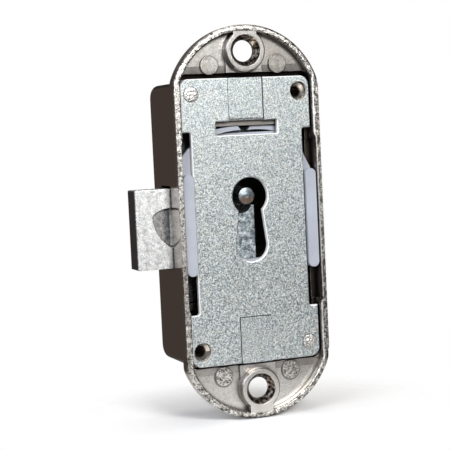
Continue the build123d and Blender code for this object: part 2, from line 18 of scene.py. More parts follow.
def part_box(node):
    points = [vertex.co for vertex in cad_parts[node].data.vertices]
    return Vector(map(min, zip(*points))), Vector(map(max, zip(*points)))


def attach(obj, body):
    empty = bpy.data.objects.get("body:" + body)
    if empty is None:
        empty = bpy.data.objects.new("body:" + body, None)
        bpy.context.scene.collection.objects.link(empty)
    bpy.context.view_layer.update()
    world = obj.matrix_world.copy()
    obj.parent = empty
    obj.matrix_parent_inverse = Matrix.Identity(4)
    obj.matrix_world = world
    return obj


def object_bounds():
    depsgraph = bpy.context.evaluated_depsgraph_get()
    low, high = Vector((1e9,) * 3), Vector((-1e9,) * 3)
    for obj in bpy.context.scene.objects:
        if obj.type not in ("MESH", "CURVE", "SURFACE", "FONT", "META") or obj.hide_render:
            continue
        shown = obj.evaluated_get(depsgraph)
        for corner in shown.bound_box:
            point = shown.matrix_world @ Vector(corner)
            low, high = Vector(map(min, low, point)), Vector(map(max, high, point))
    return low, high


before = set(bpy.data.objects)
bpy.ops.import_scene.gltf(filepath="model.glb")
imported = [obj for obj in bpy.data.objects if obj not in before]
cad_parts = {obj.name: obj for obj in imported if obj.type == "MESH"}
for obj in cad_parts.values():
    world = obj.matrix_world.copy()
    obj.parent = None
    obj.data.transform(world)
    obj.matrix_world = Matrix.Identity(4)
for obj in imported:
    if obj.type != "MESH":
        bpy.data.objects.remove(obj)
CAD_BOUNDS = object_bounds()
CASING_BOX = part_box("casing")
PLATE_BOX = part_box("cover_plate")
PIN_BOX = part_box("drill_pin")

LOG = logging.getLogger("cupboard_lock")

MM = 0.001
HALF_WIDTH = CASING_BOX[1].x / MM
CASE_DEPTH = CASING_BOX[1].y / MM
PIN_TIP = PIN_BOX[0].y / MM
PIN_MIDDLE = (PIN_BOX[0].z + PIN_BOX[1].z) / 2 / MM
# The X and Z of a screw hole, in millimetres.
SCREW_PLACE = (0.0, 33.1)
# The peened posts stand this far inside the plate's side and its end.
HEAD_X = PLATE_BOX[1].x - 2.17 * MM
HEAD_Z = PLATE_BOX[1].z - 2.99 * MM

# Where a mask starts to change and where it has changed, in the unit of the value that it follows.
Fade = tuple[float, float]
# The places and the hex colours of a ramp.
Stops = tuple[tuple[float, str], ...]
# Nearly all of a noise lies between these.
NOISE_SPAN: Fade = (0.3, 0.7)
Node = bpy.types.Node
Socket = bpy.types.NodeSocket
Tree = bpy.types.NodeTree


class Kind(Enum):
    """The nodes that are used here: type name, output, settings and usual inputs.

    The fourth place of a noise, W, is a number of its own for each pattern, so that no two look alike.
    """

    PLACE = ("ShaderNodeTexCoord", "Object", {}, {})
    FACING = ("ShaderNodeTexCoord", "Normal", {}, {})
    DIRECTION = ("ShaderNodeTexCoord", "Generated", {}, {})
    FLAT_NORMAL = ("ShaderNodeNewGeometry", "True Normal", {}, {})
    X = ("ShaderNodeSeparateXYZ", "X", {}, {})
    Y = ("ShaderNodeSeparateXYZ", "Y", {}, {})
    Z = ("ShaderNodeSeparateXYZ", "Z", {}, {})
    VECTOR = ("ShaderNodeCombineXYZ", "Vector", {}, {})
    SCALED = ("ShaderNodeVectorMath", "Vector", {"operation": "SCALE"}, {})
    LENGTH = ("ShaderNodeVectorMath", "Value", {"operation": "LENGTH"}, {})
    DOT = ("ShaderNodeVectorMath", "Value", {"operation": "DOT_PRODUCT"}, {})
    PLUS = ("ShaderNodeMath", "Value", {"operation": "ADD"}, {})
    MINUS = ("ShaderNodeMath", "Value", {"operation": "SUBTRACT"}, {})
    TIMES = ("ShaderNodeMath", "Value", {"operation": "MULTIPLY"}, {})
    LARGER = ("ShaderNodeMath", "Value", {"operation": "MAXIMUM"}, {})
    UNSIGNED = ("ShaderNodeMath", "Value", {"operation": "ABSOLUTE"}, {})
    FADE = ("ShaderNodeMapRange", "Result", {"interpolation_type": "SMOOTHSTEP"}, {})
    GRADES = ("ShaderNodeValToRGB", "Color", {}, {})
    COVER = ("ShaderNodeMix", "Result", {"data_type": "RGBA", "blend_type": "MIX"}, {})
    TINT = ("ShaderNodeMix", "Result", {"data_type": "RGBA", "blend_type": "MULTIPLY"}, {})
    NOISE = ("ShaderNodeTexNoise", "Fac", {"noise_dimensions": "4D"}, {"Detail": 3.0, "Roughness": 0.6})
    RINGS = ("ShaderNodeTexWave", "Fac", {"bands_direction": "Y"}, {})
    OPENNESS = ("ShaderNodeAmbientOcclusion", "AO", {"samples": 8}, {})
    SOFT_EDGE = ("ShaderNodeBevel", "Normal", {"samples": 4}, {})
    ROUND_EDGE = ("ShaderNodeBevel", "Normal", {"samples": 6}, {})
    BUMP = ("ShaderNodeBump", "Normal", {}, {"Strength": 1.0})
    SURFACE = ("ShaderNodeBsdfPrincipled", "BSDF", {}, {})
    SURFACE_OUTPUT = ("ShaderNodeOutputMaterial", "", {}, {})
    GLOW = ("ShaderNodeBackground", "Background", {}, {})
    CAMERA_RAY = ("ShaderNodeLightPath", "Is Camera Ray", {}, {})
    EITHER = ("ShaderNodeMixShader", "Shader", {}, {})
    ROOM_OUTPUT = ("ShaderNodeOutputWorld", "", {}, {})


class Grain(Enum):
    """Sizes of surface pattern, in millimetres. A pixel of the render is 0.2 mm wide."""

    # Plating specks and peel are 0.05 to 0.1 mm wide, too fine to show, and are drawn about a pixel wide.
    SPECK = 0.24
    # The coarser crystals of zinc, and the blotches between them.
    CRYSTAL = 0.75
    # The soft waviness of a moulded face.
    PEEL = 1.4
    # Slow changes of shade over a whole piece.
    CLOUD = 9.0
    # Unevenness of the studio's paper.
    WASH = 26.0

    @property
    def scale(self) -> float:
        """Gives the noise scale, per metre."""
        return 1 / (self.value * MM)


def linear(hex_colour: str) -> tuple[float, float, float, float]:
    """Turns an sRGB hex colour into linear values.

    Args:
        hex_colour: Six hex digits after a hash sign.

    Returns:
        Red, green, blue and an alpha of one.
    """
    channels = [int(hex_colour[i : i + 2], 16) / 255 for i in (1, 3, 5)]
    red, green, blue = (c / 12.92 if c <= 0.04045 else ((c + 0.055) / 1.055) ** 2.4 for c in channels)
    return red, green, blue, 1.0


def add_node(tree: Tree, kind: Kind, *inputs: Any, stops: Stops = (), **named: Any) -> Node:
    """Adds a node with its settings, values and links.

    Args:
        tree: The node tree that gets it.
        kind: The kind of node.
        *inputs: Sockets to link, hex colours or plain values for the first inputs in use.
        stops: Places and hex colours of its ramp.
        **named: The same for inputs by their names.

    Returns:
        The new node.
    """
    type_name, _, settings, usual = kind.value
    node = tree.nodes.new(type_name)
    for name, value in settings.items():
        setattr(node, name, value)
    in_use = [socket for socket in node.inputs if socket.enabled]
    by_name = [(node.inputs[name], value) for name, value in (usual | named).items()]
    for socket, value in (*zip(in_use, inputs), *by_name):
        if isinstance(value, Socket):
            tree.links.new(value, socket)
        else:
            socket.default_value = linear(value) if isinstance(value, str) else value
    for number, (place, colour) in enumerate(stops):
        elements = node.color_ramp.elements
        element = elements[number] if number < len(elements) else elements.new(1.0)
        element.position = place
        element.color = linear(colour)
    return node


@dataclass(frozen=True)
class Shade:
    """A colour and how much of it covers what is under it."""

    colour: str
    share: float = 1.0


@dataclass(frozen=True)
class Coat:
    """The nodes that a finish lays over one material."""

    tree: Tree

    def add(self, kind: Kind, *inputs: Any, stops: Stops = (), **named: Any) -> Socket:
        """Adds a node and gives its output, with the arguments of add_node."""
        node = add_node(self.tree, kind, *inputs, stops=stops, **named)
        return next(socket for socket in node.outputs if socket.enabled and socket.name == kind.value[1])

    def axes(self, vector: Socket) -> tuple[Socket, Socket, Socket]:
        """Splits a vector into its X, Y and Z."""
        return self.add(Kind.X, vector), self.add(Kind.Y, vector), self.add(Kind.Z, vector)

    def all_of(self, *masks: Socket | float) -> Socket:
        """Joins masks where all of them hold.

        Args:
            *masks: The masks, or plain shares.

        Returns:
            Their product.
        """
        joined = masks[0]
        for mask in masks[1:]:
            joined = self.add(Kind.TIMES, joined, mask)
        return joined

    def any_of(self, *masks: Socket) -> Socket:
        """Joins masks where any of them holds.

        Args:
            *masks: The masks.

        Returns:
            The largest of them.
        """
        joined = masks[0]
        for mask in masks[1:]:
            joined = self.add(Kind.LARGER, joined, mask)
        return joined

    def zone(
        self,
        value: Socket,
        rise: Fade | None = None,
        fall: Fade | None = None,
        least: float = 0.0,
        most: float = 1.0,
    ) -> Socket:
        """Marks the zone in which a value lies, with soft ends.

        Args:
            value: The value, such as a place in millimetres.
            rise: Where the zone starts and where it is full.
            fall: Where it starts to end and where it is gone.
            least: The mark outside the zone.
            most: The mark inside it.

        Returns:
            The mark.
        """
        marks = []
        if rise:
            marks.append(self.add(Kind.FADE, value, *rise, least, most))
        if fall:
            marks.append(self.add(Kind.FADE, value, *fall, most, least))
        return self.all_of(*marks)

    def layers(self, base: Socket, *coats: tuple[Socket, Socket | Shade]) -> Socket:
        """Lays colours over one another.

        Args:
            base: The colour underneath.
            *coats: The mask and the colour of each layer.

        Returns:
            The colour on top.
        """
        for mask, colour in coats:
            if isinstance(colour, Shade):
                mask = self.all_of(mask, colour.share)
                colour = colour.colour
            base = self.add(Kind.COVER, mask, base, colour)
        return base


@dataclass(frozen=True)
class Finish:
    """What every finish has: a name, a roughness and the softness of its edges in millimetres."""

    name: str
    roughness: float
    metallic: float = 1.0
    edge_radius: float = 0.12

    def material(self) -> bpy.types.Material:
        """Builds the material, once.

        Returns:
            The material of this finish.
        """
        made = bpy.data.materials.get(self.name)
        if made:
            return made
        made = bpy.data.materials.new(self.name)
        made.use_nodes = True
        tree = made.node_tree
        tree.nodes.clear()
        coat = Coat(tree)
        shader = add_node(tree, Kind.SURFACE, Metallic=self.metallic, Roughness=self.roughness)
        self.dress(coat, shader, coat.add(Kind.PLACE))
        add_node(tree, Kind.SURFACE_OUTPUT, shader.outputs[0])
        return made

    def dress(self, coat: Coat, shader: Node, place: Socket) -> None:
        """Adds this finish's own pattern to its shader.

        Args:
            coat: The material's nodes.
            shader: The surface shader.
            place: The point in object space, in metres.
        """
        raise NotImplementedError

    def relief(self, coat: Coat, shader: Node, height: Socket, depth: float) -> None:
        """Gives the surface soft edges and a relief.

        Args:
            coat: The material's nodes.
            shader: The surface shader.
            height: The relief, from zero to one.
            depth: How deep the relief is, in millimetres.
        """
        soft = coat.add(Kind.SOFT_EDGE, Radius=self.edge_radius * MM)
        bump = coat.add(Kind.BUMP, Distance=depth * MM, Height=height, Normal=soft)
        coat.tree.links.new(bump, shader.inputs["Normal"])


@dataclass(frozen=True)
class CastingParts:
    """The point on the casting, in millimetres, and the masks of the casting's parts."""

    x: Socket
    y: Socket
    z: Socket
    across: Socket
    upright: Socket
    outside: Socket
    inner: Socket
    bridge: Socket
    rim: Socket
    foot: Socket


@dataclass(frozen=True)
class NickelledCasting(Finish):
    """Zinc alloy, die cast, tumbled and plated with nickel.

    The tumbled casting keeps a fine orange peel, whose glitter on the narrow rim is painted into the colour
    as bright and dark specks. The floors of the tray are satin, and the outside of the box, which the smooth
    die gave, mirrors what stands beside it.
    """

    # The satin floors, the painted glints of the rim in the light and away from it, and the painted shade
    # and glints of the screw holes.
    satin: Stops = ((0.3, "#bab5af"), (0.7, "#efebe6"))
    painted_glitter: Stops = ((0.41, "#2f2b28"), (0.48, "#bab5af"), (0.55, "#fbf8f2"))
    glints: Stops = ((0.45, "#2b2724"), (0.51, "#756e68"), (0.57, "#fbf8f2"))
    # Painted shade and glints in the mouths of the screw holes.
    painted_mouth_shade_and_glints: Stops = ((0.42, "#2b2623"), (0.52, "#7d746c"), (0.6, "#d8d0c8"))
    # What lies over them: painted shade at the screw bevels, about the ejector marks, beside the plate, on
    # the lower slopes, on the floor under the plate, in the recesses and in crevices; real stains; the outer
    # skin; and painted highlights on edges.
    painted_bevel_shade: Shade = Shade("#4a443f", 0.75)
    painted_ring_shade: Shade = Shade("#3f3a36", 0.6)
    painted_plate_shadow: Shade = Shade("#4a4540", 0.6)
    painted_slope_shade: Shade = Shade("#57504a", 0.45)
    stain: str = "#c4b9ad"
    stain_share: float = 0.5
    skin: Shade = Shade("#b3aca6")
    painted_deep_shade: Shade = Shade("#857c74")
    painted_recess_shade: Shade = Shade("#2e2a26", 0.75)
    painted_crevice_shade: Shade = Shade("#1d1916")
    # The painted white highlight on edges and on lines along the recesses.
    white: Shade = Shade("#fbf8f2")

    # The outside of the box: its side, its back, behind the flange, and past its ends behind the end floors.
    side_skin: Fade = (HALF_WIDTH - 0.4, HALF_WIDTH - 0.1)
    back_skin: Fade = (CASE_DEPTH - 0.6, CASE_DEPTH - 0.2)
    flange_back: Fade = (0.5, 1.1)
    box_end: Fade = (27.2, 27.4)
    floor_back: Fade = (3.2, 3.4)
    # The rim's face and the halves of the lock.
    rim_depth: Fade = (0.5, 0.8)
    waist: Fade = (-1.0, 1.0)
    # The bosses about the screw holes, and the bridges from them to the rim, whose ends lie a little low.
    boss_side: Fade = (4.1, 4.3)
    boss_start: Fade = (28.5, 28.7)
    boss_end: Fade = (36.7, 36.9)
    bridge_side: Fade = (2.35, 2.45)
    bridge_start: Fade = (28.0, 29.0)
    bridge_end: Fade = (37.2, 37.5)
    bridge_offset: float = 0.42
    # Rings about the screw holes and about the marks that the ejector pins left, with painted shade on the
    # bevel about each screw hole and in a ring about each mark.
    mouth: Fade = (2.95, 3.1)
    bevel_start: Fade = (3.8, 3.9)
    bevel_end: Fade = (4.1, 4.25)
    mark_place: tuple[float, float] = (7.1, 30.35)
    mark_edge: Fade = (1.7, 1.8)
    ring_start: Fade = (1.72, 1.8)
    ring_end: Fade = (1.98, 2.1)
    # The floor under the plate, which gets painted shade, the posts that stand clear of it, and the groove
    # by the plate's ends, where the painted shade is darker still.
    floor_depth: Fade = (2.2, 2.7)
    post_side: Fade = (2.0, 2.3)
    post_root: Fade = (2.8, 3.0)
    groove: Fade = (27.0, 27.3)
    # The upper end floor beside the plate, which gets a painted shadow, and the slopes on the lower one,
    # which get painted shade where they face up.
    plate_reach: Fade = (27.6, 30.6)
    plate_end: Fade = (26.0, 27.0)
    slope_end: Fade = (30.2, 30.4)
    # The recesses in the side walls, which get painted shade, and the painted highlight lines along their
    # edges.
    recess_wall: Fade = (12.5, 12.9)
    recess_depth: Fade = (1.2, 1.9)
    line_start: Fade = (13.7, 13.78)
    line_end: Fade = (13.92, 14.02)
    slot_line_start: Fade = (14.08, 14.14)
    slot_line_end: Fade = (14.26, 14.38)
    slot_end: Fade = (15.8, 16.4)
    line_share: float = 0.8
    # The parts of the rim that look away from the light, by their place and by their normal, which get
    # painted shade and glints.
    far_side: Fade = (13.4, 14.2)
    far_share: float = 0.65
    low_end: Fade = (-33.0, -29.0)
    low_share: float = 0.5
    turned_away: Fade = (0.15, 0.6)
    slope_tilt: Fade = (0.04, 0.1)
    # The noise that shows as stains, and how much painted glitter the ejector marks get, with more on the
    # lower floor.
    stained: Fade = (0.45, 0.75)
    mark_glitter: float = 0.15
    low_mark_glitter: float = 0.8
    # Painted shade darkens the crevices, where a point is shut in, and painted highlights brighten edges
    # where it is open.
    crevice_reach: float = 1.1
    crevice: Fade = (0.4, 0.9)
    crevice_share: float = 0.8
    in_open: Fade = (0.75, 0.95)
    # An edge is where the rounded normal and the flat one differ. The rim's own edges are nearly spared.
    highlight_reach: float = 0.16
    highlight_edge: Fade = (0.8, 0.97)
    rim_edge: Fade = (0.72, 0.92)
    rim_spared: float = 0.85
    # The outside is smoother than any face of the tray, which varies with the crystals.
    outer_roughness: float = 0.13
    roughness_span: Fade = (-0.03, 0.04)
    peel_depth: float = 0.07
    floor_peel: float = 0.3
    rim_peel: float = 0.7
    rim_crystal: float = 0.2

    def dress(self, coat: Coat, shader: Node, place: Socket) -> None:
        """Adds peel, painted glints, stains, painted shade and painted edge highlights, and a smoother skin
        outside.

        Args:
            coat: The material's nodes.
            shader: The surface shader.
            place: The point in object space, in metres.
        """
        parts = self.find_parts(coat, place)
        speck = coat.add(Kind.NOISE, Vector=place, Scale=Grain.SPECK.scale)
        crystal = coat.add(Kind.NOISE, Vector=place, Scale=Grain.CRYSTAL.scale, W=3.0)
        cloud = coat.add(Kind.NOISE, Vector=place, Scale=Grain.CLOUD.scale, W=7.0)
        metal = self.mark_floors(coat, parts, speck, crystal)
        metal = self.turn_from_light(coat, parts, metal, speck, crystal)
        stained = coat.zone(cloud, rise=self.stained, most=self.stain_share)
        metal = coat.add(Kind.TINT, stained, metal, self.stain)
        metal = self.shade_depths(coat, parts, metal)
        coat.tree.links.new(metal, shader.inputs["Base Color"])
        least, most = (self.roughness + change for change in self.roughness_span)
        rough = coat.all_of(coat.zone(crystal, rise=NOISE_SPAN, least=least, most=most), parts.inner)
        rough = coat.add(Kind.PLUS, rough, coat.all_of(parts.outside, self.outer_roughness))
        coat.tree.links.new(rough, shader.inputs["Roughness"])
        fine = coat.add(Kind.PLUS, self.floor_peel, coat.all_of(parts.rim, self.rim_peel))
        coarse = coat.all_of(crystal, parts.rim, self.rim_crystal)
        peel = coat.add(Kind.PLUS, coat.all_of(speck, fine), coarse)
        self.relief(coat, shader, coat.all_of(peel, parts.inner), self.peel_depth)

    def find_parts(self, coat: Coat, place: Socket) -> CastingParts:
        """Makes the masks of the casting's parts.

        Args:
            coat: The material's nodes.
            place: The point in object space, in metres.

        Returns:
            The point in millimetres and the masks.
        """
        x, y, z = coat.axes(coat.add(Kind.SCALED, place, 1 / MM))
        across, upright = coat.add(Kind.UNSIGNED, x), coat.add(Kind.UNSIGNED, z)
        box = coat.any_of(coat.zone(across, rise=self.side_skin), coat.zone(y, rise=self.back_skin))
        box = coat.all_of(coat.zone(y, rise=self.flange_back), box)
        ends = coat.all_of(coat.zone(upright, rise=self.box_end), coat.zone(y, rise=self.floor_back))
        outside = coat.any_of(box, ends)
        inner = coat.add(Kind.MINUS, 1.0, outside)
        off_middle = coat.add(Kind.UNSIGNED, coat.add(Kind.PLUS, z, self.bridge_offset))
        bridge = coat.all_of(
            coat.zone(across, fall=self.bridge_side),
            coat.zone(off_middle, fall=self.bridge_end),
            coat.zone(upright, rise=self.bridge_start),
        )
        boss = coat.zone(upright, rise=self.boss_start, fall=self.boss_end)
        boss = coat.all_of(coat.zone(across, fall=self.boss_side), boss)
        flat = coat.add(Kind.MINUS, 1.0, coat.any_of(boss, bridge))
        rim = coat.all_of(inner, coat.zone(y, fall=self.rim_depth), flat)
        foot = coat.zone(z, fall=self.waist)
        return CastingParts(x, y, z, across, upright, outside, inner, bridge, rim, foot)

    def from_axis(self, coat: Coat, parts: CastingParts, axis: tuple[float, float]) -> Socket:
        """Measures how far a point is from an axis along Y, on either half of the case.

        Args:
            coat: The material's nodes.
            parts: The point and the masks.
            axis: The axis's place in X and Z, in millimetres.

        Returns:
            The distance in millimetres.
        """
        gap_x = coat.add(Kind.MINUS, parts.across, axis[0])
        gap_z = coat.add(Kind.MINUS, parts.upright, axis[1])
        return coat.add(Kind.LENGTH, coat.add(Kind.VECTOR, X=gap_x, Z=gap_z))

    def mark_floors(self, coat: Coat, parts: CastingParts, speck: Socket, crystal: Socket) -> Socket:
        """Colours the satin floors, paints glints on the rim and the ejector marks, shade and glints in the
        screw holes, and shade about the screw bevels, the marks and beside the plate.

        Args:
            coat: The material's nodes.
            parts: The point and the masks.
            speck: The finest noise.
            crystal: The coarser noise.

        Returns:
            The colour.
        """
        from_screw = self.from_axis(coat, parts, SCREW_PLACE)
        from_mark = self.from_axis(coat, parts, self.mark_place)
        grains = coat.all_of(coat.add(Kind.PLUS, speck, crystal), 0.5)
        mark = coat.add(Kind.PLUS, self.mark_glitter, coat.all_of(parts.foot, self.low_mark_glitter))
        mark = coat.all_of(coat.zone(from_mark, fall=self.mark_edge), parts.inner, mark)
        off_bridge = coat.add(Kind.MINUS, 1.0, parts.bridge)
        bevel = coat.zone(from_screw, rise=self.bevel_start, fall=self.bevel_end)
        ring = coat.zone(from_mark, rise=self.ring_start, fall=self.ring_end)
        beside_plate = coat.all_of(
            coat.zone(parts.z, fall=self.plate_reach),
            coat.zone(parts.upright, rise=self.plate_end),
            coat.add(Kind.MINUS, 1.0, parts.foot),
            coat.add(Kind.MINUS, 1.0, parts.rim),
            parts.inner,
        )
        return coat.layers(
            coat.add(Kind.GRADES, speck, stops=self.satin),
            (coat.any_of(parts.rim, mark), coat.add(Kind.GRADES, grains, stops=self.painted_glitter)),
            (coat.zone(from_screw, fall=self.mouth), coat.add(Kind.GRADES, crystal, stops=self.painted_mouth_shade_and_glints)),
            (coat.all_of(bevel, off_bridge), self.painted_bevel_shade),
            (ring, self.painted_ring_shade),
            (beside_plate, self.painted_plate_shadow),
        )

    def turn_from_light(
        self, coat: Coat, parts: CastingParts, metal: Socket, speck: Socket, crystal: Socket
    ) -> Socket:
        """Paints shade and glints on the rim, and shade on the lower slopes, where they face away from the
        lamps.

        Args:
            coat: The material's nodes.
            parts: The point and the masks.
            metal: The colour so far.
            speck: The finest noise.
            crystal: The coarser noise.

        Returns:
            The colour.
        """
        facing_x, _, facing_z = coat.axes(coat.add(Kind.FACING))
        away = coat.any_of(
            coat.zone(coat.add(Kind.MINUS, facing_x, facing_z), rise=self.turned_away),
            coat.zone(parts.x, rise=self.far_side, most=self.far_share),
            coat.zone(parts.z, fall=self.low_end, most=self.low_share),
        )
        grains = coat.all_of(coat.add(Kind.PLUS, speck, crystal), 0.5)
        glints = coat.add(Kind.GRADES, grains, stops=self.glints)
        tilt = coat.zone(coat.all_of(facing_z, parts.foot), rise=self.slope_tilt)
        slope = coat.all_of(tilt, parts.inner, coat.zone(parts.upright, fall=self.slope_end))
        return coat.layers(metal, (coat.all_of(away, parts.rim), glints), (slope, self.painted_slope_shade))

    def shade_depths(self, coat: Coat, parts: CastingParts, metal: Socket) -> Socket:
        """Lays the outer skin, painted shade on the floor under the plate, in the recesses and in crevices,
        and painted edge highlights over the metal.

        Args:
            coat: The material's nodes.
            parts: The point and the masks.
            metal: The colour so far.

        Returns:
            The colour.
        """
        off_posts = [
            coat.zone(coat.add(Kind.UNSIGNED, coat.add(Kind.MINUS, axis, middle / MM)), rise=self.post_side)
            for axis, middle in ((parts.across, HEAD_X), (parts.upright, HEAD_Z))
        ]
        clear = coat.any_of(*off_posts, coat.zone(parts.y, rise=self.post_root))
        shade = coat.all_of(parts.inner, coat.zone(parts.y, rise=self.floor_depth), clear)
        recess = coat.all_of(
            coat.zone(parts.across, rise=self.recess_wall),
            coat.zone(parts.y, rise=self.recess_depth),
            coat.zone(parts.upright, fall=self.box_end),
            parts.inner,
        )
        openness = coat.add(Kind.OPENNESS, Distance=self.crevice_reach * MM)
        groove = coat.all_of(shade, coat.zone(parts.upright, rise=self.groove))
        painted_crevice_shade = coat.any_of(coat.zone(openness, fall=self.crevice, most=self.crevice_share), groove)
        return coat.layers(
            metal,
            (parts.outside, self.skin),
            (shade, self.painted_deep_shade),
            (recess, self.painted_recess_shade),
            (painted_crevice_shade, self.painted_crevice_shade),
            # Painted highlight on edges and on lines along the recesses.
            (self.painted_edge_highlights(coat, parts, openness), self.white),
        )

    def painted_edge_highlights(self, coat: Coat, parts: CastingParts, openness: Socket) -> Socket:
        """Finds the edges of the tray, and the lines along the recesses, that get a painted highlight.

        Args:
            coat: The material's nodes.
            parts: The point and the masks.
            openness: How open the surroundings of the point are.

        Returns:
            The mask.
        """
        rounded = coat.add(Kind.ROUND_EDGE, Radius=self.highlight_reach * MM)
        flatness = coat.add(Kind.DOT, coat.add(Kind.FLAT_NORMAL), rounded)
        off_rim = coat.add(Kind.MINUS, 1.0, coat.all_of(parts.rim, self.rim_spared))
        in_open = coat.zone(openness, rise=self.in_open)
        lit_edges = coat.all_of(coat.zone(flatness, fall=self.highlight_edge), in_open, off_rim)
        sharp = coat.all_of(coat.zone(flatness, fall=self.rim_edge), parts.rim)
        slot_line = coat.zone(parts.x, rise=self.slot_line_start, fall=self.slot_line_end)
        slot_line = coat.all_of(slot_line, coat.zone(parts.upright, fall=self.slot_end))
        lines = coat.any_of(coat.zone(parts.x, rise=self.line_start, fall=self.line_end), slot_line)
        lines = coat.all_of(lines, parts.rim, self.line_share)
        return coat.all_of(coat.any_of(lit_edges, sharp, lines), parts.inner)


@dataclass(frozen=True)
class ZincedSheet(Finish):
    """Low-carbon steel sheet, blanked and plated with blue-passivated zinc.

    The zinc grows in small crystals, which gives a cool grey full of fine light and dark specks. The sheared
    The sheared edges are matt, painted lighter or darker by how they face the light, and their arrises get
    painted white highlight lines. Painted shade darkens the narrow crevices.
    """

    specks: Stops = ((0.36, "#8a9194"), (0.5, "#c6cbcb"), (0.64, "#f0f3f2"))
    washes: Stops = ((0.4, "#e9eff2"), (0.6, "#f6f5ee"))
    # Painted light and shade on the sheared edges, from the side turned from the light to the side turned to
    # it, the painted highlight on their arrises, and painted shade in crevices.
    painted_cut_shades: Stops = ((0.0, "#7d7770"), (1.0, "#f2eee6"))
    painted_arris_highlight: Shade = Shade("#ffffff")
    # Painted shade in the crevices, from the ambient occlusion.
    painted_crevice_shade: Shade = Shade("#16181a", 0.9)
    crystal_share: float = 0.12
    wash_share: float = 0.6
    # How the normal tells a chamfer, a sheared edge and a face that is turned to the light.
    chamfer_turn: Fade = (0.82, 0.95)
    sheared_turn: Fade = (0.4, 0.8)
    light_turn: Fade = (-0.3, 0.5)
    crevice_reach: float = 0.4
    crevice: Fade = (0.45, 0.9)
    # A sheared edge is rougher than the face and lets less of the metal's gloss show.
    sheared_roughness: float = 0.3
    sheared_matt: float = 0.6
    speck_span: Fade = (0.35, 0.65)
    roughness_span: Fade = (-0.08, 0.1)
    speck_depth: float = 0.05

    def dress(self, coat: Coat, shader: Node, place: Socket) -> None:
        """Adds specks, faint colour washes, painted light and shade on the sheared edges, painted arris
        highlights and painted shade in crevices.

        Args:
            coat: The material's nodes.
            shader: The surface shader.
            place: The point in object space, in metres.
        """
        speck = coat.add(Kind.NOISE, Vector=place, Scale=Grain.SPECK.scale, Detail=1.5)
        crystal = coat.add(Kind.NOISE, Vector=place, Scale=Grain.CRYSTAL.scale, Detail=2.0, W=5.0)
        wash = coat.add(Kind.NOISE, Vector=place, Scale=Grain.CRYSTAL.scale, W=11.0)
        fine = coat.all_of(speck, 1 - self.crystal_share)
        mottled = coat.add(Kind.PLUS, fine, coat.all_of(crystal, self.crystal_share))
        wash = coat.add(Kind.GRADES, wash, stops=self.washes)
        colour = coat.add(Kind.GRADES, mottled, stops=self.specks)
        colour = coat.add(Kind.TINT, self.wash_share, colour, wash)
        facing_x, facing_y, facing_z = coat.axes(coat.add(Kind.FACING))
        flat = coat.add(Kind.UNSIGNED, facing_y)
        sheared = coat.zone(flat, fall=self.sheared_turn)
        lit = coat.zone(coat.add(Kind.MINUS, facing_z, facing_x), rise=self.light_turn)
        painted_arris_highlight = coat.add(Kind.MINUS, coat.zone(flat, fall=self.chamfer_turn), sheared)
        painted_arris_highlight = coat.all_of(painted_arris_highlight, lit)
        openness = coat.add(Kind.OPENNESS, Distance=self.crevice_reach * MM)
        colour = coat.layers(
            colour,
            (sheared, coat.add(Kind.GRADES, lit, stops=self.painted_cut_shades)),
            (painted_arris_highlight, self.painted_arris_highlight),
            (coat.zone(openness, fall=self.crevice), self.painted_crevice_shade),
        )
        coat.tree.links.new(colour, shader.inputs["Base Color"])
        least, most = (self.roughness + change for change in self.roughness_span)
        rough = coat.zone(speck, rise=self.speck_span, least=least, most=most)
        rough = coat.add(Kind.PLUS, rough, coat.all_of(sheared, self.sheared_roughness))
        coat.tree.links.new(rough, shader.inputs["Roughness"])
        matt = coat.any_of(coat.all_of(sheared, self.sheared_matt), painted_arris_highlight)
        coat.tree.links.new(coat.add(Kind.MINUS, 1.0, matt), shader.inputs["Metallic"])
        self.relief(coat, shader, mottled, self.speck_depth)


